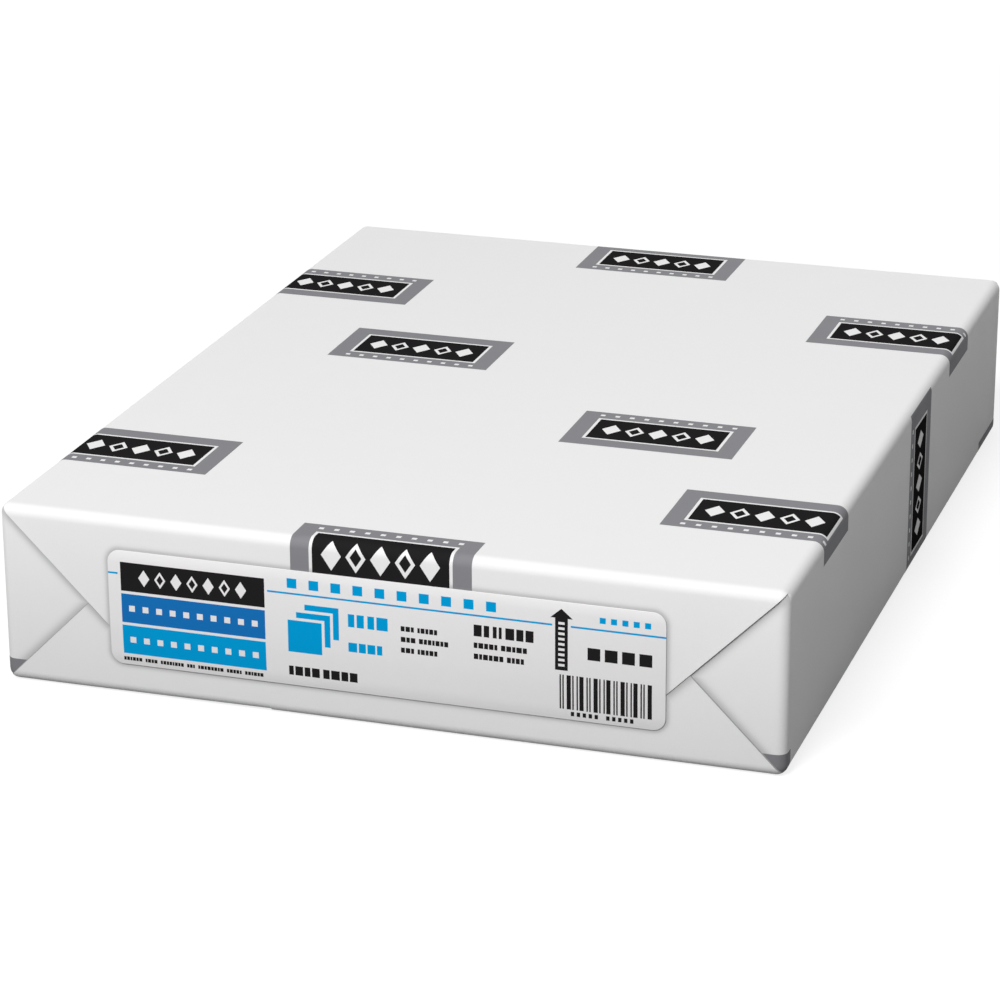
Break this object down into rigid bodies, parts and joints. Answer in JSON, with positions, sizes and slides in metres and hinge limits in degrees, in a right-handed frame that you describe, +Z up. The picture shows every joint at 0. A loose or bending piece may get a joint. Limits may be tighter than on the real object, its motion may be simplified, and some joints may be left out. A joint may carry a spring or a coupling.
{
  "type": "ream of carbonless paper",
  "caption": "Sealed ream of letter-size sheets in a printed wrapper, with envelope folds at both ends and a pasted label on the front end.",
  "frame": {"origin": "middle of the underside, on the plane that the ream rests on", "axes": "+Z up through the stack of sheets, +Y along the ream's length away from the labelled end, +X to the right of someone who faces that end"},
  "size_m": [0.2176, 0.2852, 0.051],
  "materials": {
    "wrapper_paper": "smooth coated wrapping paper with a slight sheen",
    "label_paper": "smooth label paper",
    "grey_ink": "grey ink on wrapping paper",
    "black_ink": "black ink on paper",
    "cyan_ink": "cyan ink on paper",
    "blue_ink": "blue ink on paper"
  },
  "bodies": {
    "root": {"wrapped_ream": "wrapper_paper", "end_label": "label_paper", "wrapper_print_grey": "grey_ink", "wrapper_print_black": "black_ink", "label_print_cyan": "cyan_ink", "label_print_blue": "blue_ink", "label_print_black": "black_ink"}
  },
  "joints": []
}
